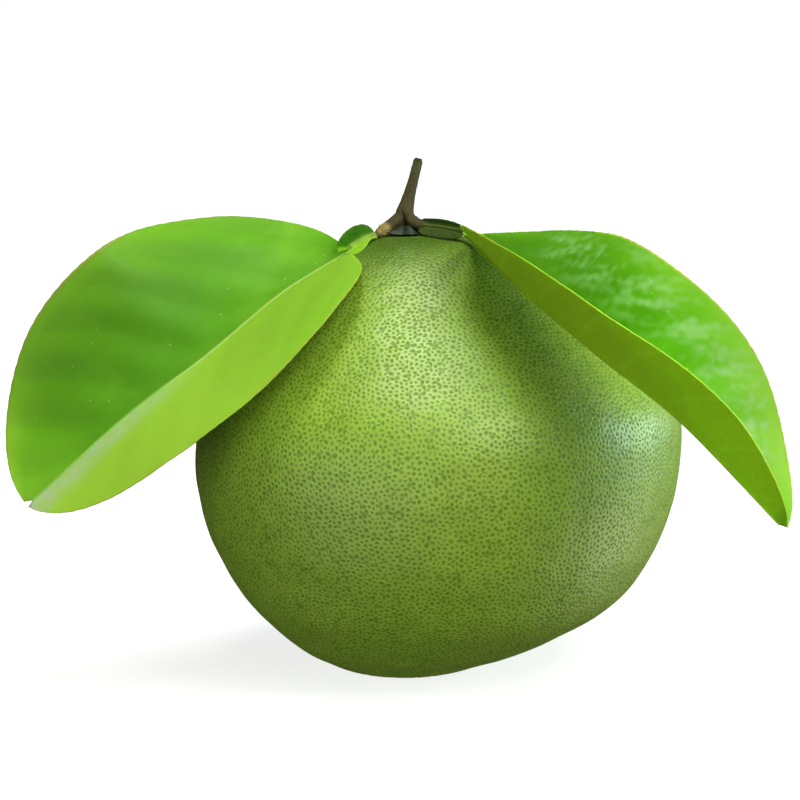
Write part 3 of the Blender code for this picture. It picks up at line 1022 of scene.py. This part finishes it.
def tube(points, ridges, count, rounding=0.0):
    """Points and faces of a closed rod along a smooth path of (x, y, height, radius) points in mm.

    It has count soft ridges, and its first end may be rounded by so many mm.
    """
    smooth = catmull_rom(np.array(points, float), TUBE_ROWS * len(points)) * MM
    path, radius = smooth[:, :3], smooth[:, 3]
    along = unit(np.gradient(path, axis=0))
    side = unit(np.cross(along, ACROSS_ANY_STALK))
    other = np.cross(along, side)
    around = np.linspace(0, 2 * math.pi, TUBE_SIDES, endpoint=False)
    ridge = 1 + ridges * np.cos(count * around)
    ring = side[:, None] * np.cos(around)[:, None] + other[:, None] * np.sin(around)[:, None]
    body = path[:, None] + ring * (radius[:, None] * ridge)[..., None]
    if rounding:
        end = path[:1, None] - along[:1, None] * rounding * MM
        cap = end + ring[:1] * (radius[0] * CAP_SHARE * ridge)[None, :, None]
        body = np.concatenate([cap, body])
    grid = np.arange(body.shape[0] * TUBE_SIDES).reshape(-1, TUBE_SIDES)
    turned = np.roll(grid, -1, axis=1)
    faces = np.stack([grid[:-1], turned[:-1], turned[1:], grid[1:]], axis=-1).reshape(-1, 4).tolist()
    return body.reshape(-1, 3), [*faces, grid[0][::-1].tolist(), grid[-1].tolist()]


def wings(shape):
    """Points and faces of a petiole's wings as one thin closed sheet."""
    shares = np.linspace(0, 1, WING_ROWS + 1)
    points, normals, _, reach = folded_sheet(shape, shares, spread_columns(WING_COLUMNS))
    thinning = 0.4 * smooth_step(np.abs(reach) / np.abs(reach).max(), 0.8, 1)
    half = WING_THICKNESS / 2 * (1 - thinning)[..., None]
    mesh = closed_sheet("wings", points + normals * half, points - normals * half, {})
    faces = [list(polygon.vertices) for polygon in mesh.polygons]
    places = places_of(mesh)
    bpy.data.meshes.remove(mesh)
    return places, faces


def fused(name, shapes, voxel, smoothing):
    """One closed skin over several overlapping closed shapes, blended where they meet."""
    form = bmesh.new()
    for points, faces in shapes:
        verts = [form.verts.new(point) for point in points]
        for face in faces:
            form.faces.new([verts[i] for i in face])
    bmesh.ops.recalc_face_normals(form, faces=form.faces)
    mesh = bpy.data.meshes.new(name)
    form.to_mesh(mesh)
    form.free()
    obj = bpy.data.objects.new(name, mesh)
    bpy.context.scene.collection.objects.link(obj)
    skin = obj.modifiers.new("Skin", "REMESH")
    skin.mode = "VOXEL"
    skin.voxel_size = voxel
    even = obj.modifiers.new("Even", "SMOOTH")
    even.factor = 0.5
    even.iterations = smoothing
    made = applied(obj)
    made.shade_smooth()
    return made


def distance_to(points, path):
    """How far each point is from the nearest of the path's points, and which share of the path that is."""
    best = np.full(len(points), 1e9)
    share = np.zeros(len(points))
    for step, place in enumerate(path):
        far = np.linalg.norm(points - place, axis=1)
        nearer = far < best
        best[nearer] = far[nearer]
        share[nearer] = step / (len(path) - 1)
    return best, share


def push(mesh, amounts):
    """Moves each vertex along its normal."""
    normals = np.empty(len(mesh.vertices) * 3, np.float32)
    mesh.vertices.foreach_get("normal", normals)
    places = places_of(mesh) + normals.reshape(-1, 3) * np.asarray(amounts)[:, None]
    mesh.vertices.foreach_set("co", places.astype(np.float32).ravel())
    mesh.update()


def petiole_mesh(name, shape):
    radii = np.interp(np.linspace(0, 1, len(shape["midrib"])), STALK_SHARES, STALK_RADII)
    stalk = tube([(*point, radius) for point, radius in zip(shape["midrib"], radii)], 0.08, 5)
    mesh = fused(name, [stalk, wings(shape)], PETIOLE_VOXEL, 2)
    places = places_of(mesh)
    midrib = np.array(shape["midrib"]) * MM
    distance, share = distance_to(places, catmull_rom(midrib, 60))
    push(mesh, rumple(places, 1.6 * MM, 9) * 0.12 * MM)
    middle = catmull_rom(midrib, share)[:, 2]
    store(mesh, "out", distance)
    store(mesh, "along", share)
    store(mesh, "above", places[:, 2] - middle)
    return mesh


def petiole_look(far_wing, near_wing, stalk, joint):
    def look(tree, where):
        above = tree.attribute("above")
        # Each wing has its own colour; these carry painted light on the left near wing and painted shade on the
        # whole right petiole.
        wing = tree.blend(near_wing, far_wing, above.step(0.0, 1.2 * MM))
        out = tree.attribute("out")
        along = tree.attribute("along")
        broad = tree.noise(where, 300, 3, 0.6)
        fine = tree.noise(where, 1400, 3)
        grain = tree.maths("SINE", out * (2 * math.pi / (0.75 * MM)) + broad * 4)
        colour = tree.blend(wing, stalk, out.step(2.2 * MM, 0.7 * MM))
        colour = tree.tint(colour, 0.6 + broad * 0.6 + grain * 0.05 + fine * 0.15)
        colour = tree.blend(colour, joint, along.step(0.10, 0.0) * 0.8)
        return {
            "Base Color": colour, "Roughness": 0.5 + broad * 0.15, "Specular IOR Level": 0.15,
            "Subsurface Weight": 0.25, "Subsurface Radius": (0.6, 1.0, 0.15), "Subsurface Scale": 0.001,
            "height": grain * 0.05 + fine * 0.08,
        }

    return look


class POMELO_OT_petioles(bpy.types.Operator):
    """Makes the winged stalk of each leaf"""

    bl_idname = "pomelo.make_petioles"
    bl_label = "Petioles"

    def execute(self, context):
        settings = context.scene.pomelo.petiole
        for side, shape in (("left", LEFT_PETIOLE), ("right", RIGHT_PETIOLE)):
            node = side + "_petiole"
            colours = [getattr(settings, f"{side}_{part}") for part in ("far", "near", "stalk", "joint")]
            material = new_material(node, petiole_look(*colours))
            show("pomelo_" + node, petiole_mesh(node, shape), material, node)
        return {"FINISHED"}


def lenticel_tree():
    """Scatters small raised lenticels over the bark."""
    inputs = [
        ("Spacing", "NodeSocketFloat"), ("Crowding", "NodeSocketFloat"), ("Size", "NodeSocketFloat"),
        ("Seed", "NodeSocketInt"), ("Material", "NodeSocketMaterial"),
    ]
    tree, given = geometry_tree("Lenticels", inputs)
    points = scattered(tree, given)
    wart = tree.add("GeometryNodeMeshIcoSphere", {}, {"Radius": given["Size"], "Subdivisions": 2})
    size = tree.random(0.5, 1.0, given["Seed"])
    flat = tree.add("ShaderNodeCombineXYZ", {}, {"X": size * 0.7, "Y": size * 1.5, "Z": size * 0.5})
    placed = {"Points": points, "Instance": wart, "Rotation": points.out("Rotation"), "Scale": flat}
    warts = tree.add("GeometryNodeInstanceOnPoints", {}, placed)
    both = tree.add("GeometryNodeJoinGeometry", {}, {"Geometry": given["Geometry"]})
    tree.nodes.links.new(warts.socket, both.socket.node.inputs["Geometry"])
    end_tree(tree, both, given["Material"])
    return tree


def twig_mesh():
    """The forked twig, with grained bark, a scaly scar at the left fork and a groove between its arms."""
    stem = tube(TWIG_STEM, 0.05, 5, rounding=0.9)
    stubs = [tube(TWIG_LEFT_STUB, 0.05, 4), tube(TWIG_RIGHT_STUB, 0.05, 4)]
    mesh = fused("twig", [stem, *stubs], TWIG_VOXEL, 3)
    places = places_of(mesh)
    path = catmull_rom(np.array(TWIG_STEM)[:, :3] * MM, 80)
    _, share = distance_to(places, path)
    stretched = places * np.array([1, 1, 0.16])
    bark = rumple(stretched, 0.55 * MM, 4) * 0.10 * MM + rumple(places, 0.9 * MM, 5) * 0.07 * MM
    knot = bell(np.linalg.norm(places - KNOT, axis=1), KNOT_RADIUS)
    scaly = np.abs(rumple(places, 1.0 * MM, 6)) * KNOT_SCALES * knot
    line = np.interp(places[:, 2] / MM, FORK_HEIGHTS, FORK_X) * MM
    groove = bell(places[:, 0] - line, 0.4 * MM) * (places[:, 1] < 0.5 * MM)
    groove *= smooth_step(places[:, 2], 153 * MM, 149.5 * MM)
    push(mesh, bark + scaly - FORK_GROOVE * groove)
    store(mesh, "groove", groove)
    store(mesh, "height", share)
    store(mesh, "knot", knot)
    return mesh


def bark_look(settings):
    """Bark of the twig. Its attribute "height" is 0 at the cut end and 1 at the fork."""
    def look(tree, where):
        knot = tree.attribute("knot")
        height = tree.attribute("height")
        stretch = tree.add("ShaderNodeMapping", {}, {"Vector": where, "Scale": (1, 1, 0.15)})
        streaks = tree.noise(stretch, 2200, 4, 0.6)
        patches = tree.noise(where, 350, 3, 0.6)
        colour = tree.blend(settings.bark, settings.fresh, height.step(0.35, 0.0) * 0.8)
        colour = tree.tint(colour, 0.45 + streaks * 0.7 + patches * 0.45)
        colour = tree.blend(colour, settings.scar, knot.step(0.2, 0.7) * patches.step(0.25, 0.55))
        # Painted shade in the groove at the fork, and the cut end's own dark colour.
        groove_shade_and_cut_end = (tree.attribute("groove") * 0.85).most(height.step(0.03, 0.0) * 0.7)
        colour = tree.blend(colour, settings.groove_shade_and_cut_end, groove_shade_and_cut_end)
        return {
            "Base Color": colour, "Roughness": 0.62 + streaks * 0.2, "Specular IOR Level": 0.3,
            "height": streaks * 0.25 + patches * 0.1,
        }

    return look


class POMELO_OT_twig(bpy.types.Operator):
    """Makes the forked twig with its bark, lenticels and cut end"""

    bl_idname = "pomelo.make_twig"
    bl_label = "Twig"

    def execute(self, context):
        settings = context.scene.pomelo.twig
        material = new_material("twig bark", bark_look(settings))
        values = {
            "Spacing": settings.lenticel_spacing, "Crowding": LENTICEL_CROWDING, "Size": LENTICEL_SIZE,
            "Seed": settings.seed, "Material": material,
        }
        mesh = grown(twig_mesh(), lenticel_tree(), values)
        mesh.shade_smooth()
        show("pomelo_twig", mesh, material, "twig")
        return {"FINISHED"}


# ---------------------------------------------------------------- calyx

CROWN_RINGS = 25  # the top rings of the rind that the calyx lies on


def calyx_mesh():
    """A pointed cap with five lobes that lies on the crown and rises to the foot of the twig."""
    form = bmesh.new()
    bmesh.ops.create_uvsphere(form, u_segments=120, v_segments=60, radius=1)
    crown = fruit_rings(RIND_RINGS)[:-CROWN_RINGS:-1]
    crown_radii = (crown[:, 2] - crown[:, 1]) / 2
    apex_x = crown[0, 1]
    for vertex in form.verts:
        out = math.hypot(vertex.co.x, vertex.co.y)
        around = math.atan2(vertex.co.y, vertex.co.x)
        lobe = math.cos(CALYX_LOBES * around)
        reach = CALYX_RADIUS + CALYX_LOBE * lobe
        distance = out * reach
        rind = settled(np.interp(distance, crown_radii, crown[:, 0])) + crown_swell(distance)
        thickness = CALYX_RIM + (CALYX_HEIGHT - CALYX_RIM) * max(0.0, 1 - out) ** CALYX_STEEPNESS
        ridge = CALYX_RIDGE * lobe * math.sin(math.pi * min(1.0, out))
        vertex.co.x = apex_x + distance * math.cos(around)
        vertex.co.y = distance * math.sin(around)
        vertex.co.z = rind + (thickness + ridge) * (vertex.co.z + 1) / 2
    return steady_mesh("calyx", form)


def calyx_look(settings):
    def look(tree, where):
        broad = tree.noise(where, 500, 3)
        fine = tree.noise(where, 2600, 3)
        # The calyx's own dark green, darkened to near black as painted shade under the fork.
        colour = tree.blend(settings.dark, settings.pale, broad.step(0.35, 0.7))
        return {"Base Color": colour, "Roughness": 0.5 + fine * 0.15, "height": fine * 0.08 + broad * 0.15}

    return look


class POMELO_OT_calyx(bpy.types.Operator):
    """Makes the five-lobed calyx between the crown and the twig"""

    bl_idname = "pomelo.make_calyx"
    bl_label = "Calyx"

    def execute(self, context):
        material = new_material("calyx", calyx_look(context.scene.pomelo.calyx))
        show("pomelo_calyx", calyx_mesh(), material, "calyx")
        return {"FINISHED"}


# ---------------------------------------------------------------- stage

CAMERA_AIM = Vector((-10.89, 0, 88.5)) * MM
CAMERA_DISTANCE = 0.85
CAMERA_ELEVATION = math.radians(8)
VIEW_WIDTH = 0.264  # what the picture takes in at the fruit
SENSOR = 36
LIGHT_AIM = Vector((0, 0, 0.08))
LIGHT_DISTANCE = 1.6
# Each light: its direction from the fruit, the degrees that it spreads across and up, and its colour
LIGHTS = {
    "key": ((0.49, -0.45, 0.75), (28, 28), (1, 0.99, 0.90)),
    "front": ((0.43, -0.71, 0.56), (44, 44), (1, 0.98, 0.92)),
    "top": ((-0.08, -0.13, 0.99), (20, 20), (1, 1, 0.98)),
    "window": ((0.94, 0.25, 0.15), (27, 30), (0.66, 0.90, 1)),
    "bounce": ((0.86, 0.12, -0.50), (34, 34), (1, 0.97, 0.84)),
    "fill": ((-0.58, -0.80, -0.12), (62, 62), (1, 0.99, 0.88)),
}
FLOOR_REACH = 6
FLOOR_GLOW = (0.8, 0.8, 0.8)  # near the fruit, so that a faint shadow shows
WHITE_FROM = (0.16, 0.5)  # how far from the middle the floor turns fully white


def add_light(name, direction, spread, colour, power):
    """A soft round light that looks at the fruit."""
    lamp = bpy.data.lights.new(name, "AREA")
    lamp.shape = "ELLIPSE"
    lamp.size, lamp.size_y = (2 * LIGHT_DISTANCE * math.tan(math.radians(angle / 2)) for angle in spread)
    lamp.energy = power
    lamp.color = colour
    obj = bpy.data.objects.new(name, lamp)
    away = Vector(direction).normalized()
    obj.location = LIGHT_AIM + away * LIGHT_DISTANCE
    obj.rotation_euler = away.to_track_quat("Z", "Y").to_euler()
    bpy.context.scene.collection.objects.link(obj)


def make_floor():
    """A white floor. It glows enough to stay white in its shadows, all the more further off."""
    corners = [(-1, -1, 0), (1, -1, 0), (1, 1, 0), (-1, 1, 0)]
    mesh = new_mesh("floor", np.array(corners) * FLOOR_REACH, [(0, 1, 2, 3)])

    def look(tree, where):
        far = tree.vectors("LENGTH", where, out="Value").step(*WHITE_FROM)
        return {
            "Base Color": (0.5, 0.5, 0.5, 1), "Roughness": 0.9, "Specular IOR Level": 0.1,
            "Emission Color": tree.blend(FLOOR_GLOW, (1, 1, 1), far), "Emission Strength": 1.0,
        }

    mesh.materials.append(new_material("pale floor", look))
    floor = bpy.data.objects.new("floor", mesh)
    floor.visible_diffuse = False
    floor.visible_glossy = False
    floor.visible_shadow = False
    bpy.context.scene.collection.objects.link(floor)


def make_camera():
    data = bpy.data.cameras.new("camera")
    data.sensor_width = SENSOR
    data.lens = SENSOR * CAMERA_DISTANCE / VIEW_WIDTH
    camera = bpy.data.objects.new("camera", data)
    back = Vector((0, -math.cos(CAMERA_ELEVATION), math.sin(CAMERA_ELEVATION)))
    camera.location = CAMERA_AIM + back * CAMERA_DISTANCE
    camera.rotation_euler = (math.pi / 2 - CAMERA_ELEVATION, 0, 0)
    bpy.context.scene.collection.objects.link(camera)
    bpy.context.scene.camera = camera


def make_world(ambient):
    """A white backdrop that lights the piece only faintly."""
    world = bpy.data.worlds.new("studio")
    world.use_nodes = True
    tree = Tree(world.node_tree)
    sky = world.node_tree.nodes["Background"]
    seen = tree.add("ShaderNodeLightPath", {}, {}, "Is Camera Ray")
    strength = seen * (1 - ambient) + ambient
    world.node_tree.links.new(strength.socket, sky.inputs["Strength"])
    sky.inputs["Color"].default_value = (1, 1, 1, 1)
    bpy.context.scene.world = world


class POMELO_OT_stage(bpy.types.Operator):
    """Sets up the pale floor, the soft lights and the camera"""

    bl_idname = "pomelo.make_stage"
    bl_label = "Stage"

    def execute(self, context):
        settings = context.scene.pomelo.stage
        make_floor()
        make_camera()
        make_world(settings.ambient)
        for name, light in LIGHTS.items():
            add_light(name, *light, getattr(settings, name))
        context.scene.view_settings.view_transform = "Standard"
        return {"FINISHED"}


# ---------------------------------------------------------------- panel

OPERATORS = [
    POMELO_OT_fruit, POMELO_OT_calyx, POMELO_OT_twig, POMELO_OT_petioles, POMELO_OT_leaves, POMELO_OT_stage,
]


class POMELO_PT_panel(bpy.types.Panel):
    """Lists the pomelo's pieces and their settings"""

    bl_label = "Pomelo"
    bl_idname = "POMELO_PT_panel"
    bl_space_type = "VIEW_3D"
    bl_region_type = "UI"
    bl_category = "Pomelo"

    def draw(self, context):
        for operator in OPERATORS:
            self.layout.operator(operator.bl_idname)
        for title in ("rind", "leaf", "petiole", "twig", "calyx", "stage"):
            box = self.layout.box()
            group = getattr(context.scene.pomelo, title)
            box.label(text=title.capitalize())
            for name in group.__annotations__:
                box.prop(group, name)


CLASSES = [
    RindSettings, LeafSettings, PetioleSettings, TwigSettings, CalyxSettings, StageSettings, PomeloSettings,
    *OPERATORS, POMELO_PT_panel,
]


def register():
    for cls in CLASSES:
        bpy.utils.register_class(cls)
    bpy.types.Scene.pomelo = bpy.props.PointerProperty(type=PomeloSettings)


def unregister():
    del bpy.types.Scene.pomelo
    for cls in reversed(CLASSES):
        bpy.utils.unregister_class(cls)


def main():
    register()
    for operator in OPERATORS:
        group, name = operator.bl_idname.split(".")
        getattr(getattr(bpy.ops, group), name)()


if __name__ == "__main__":
    main()
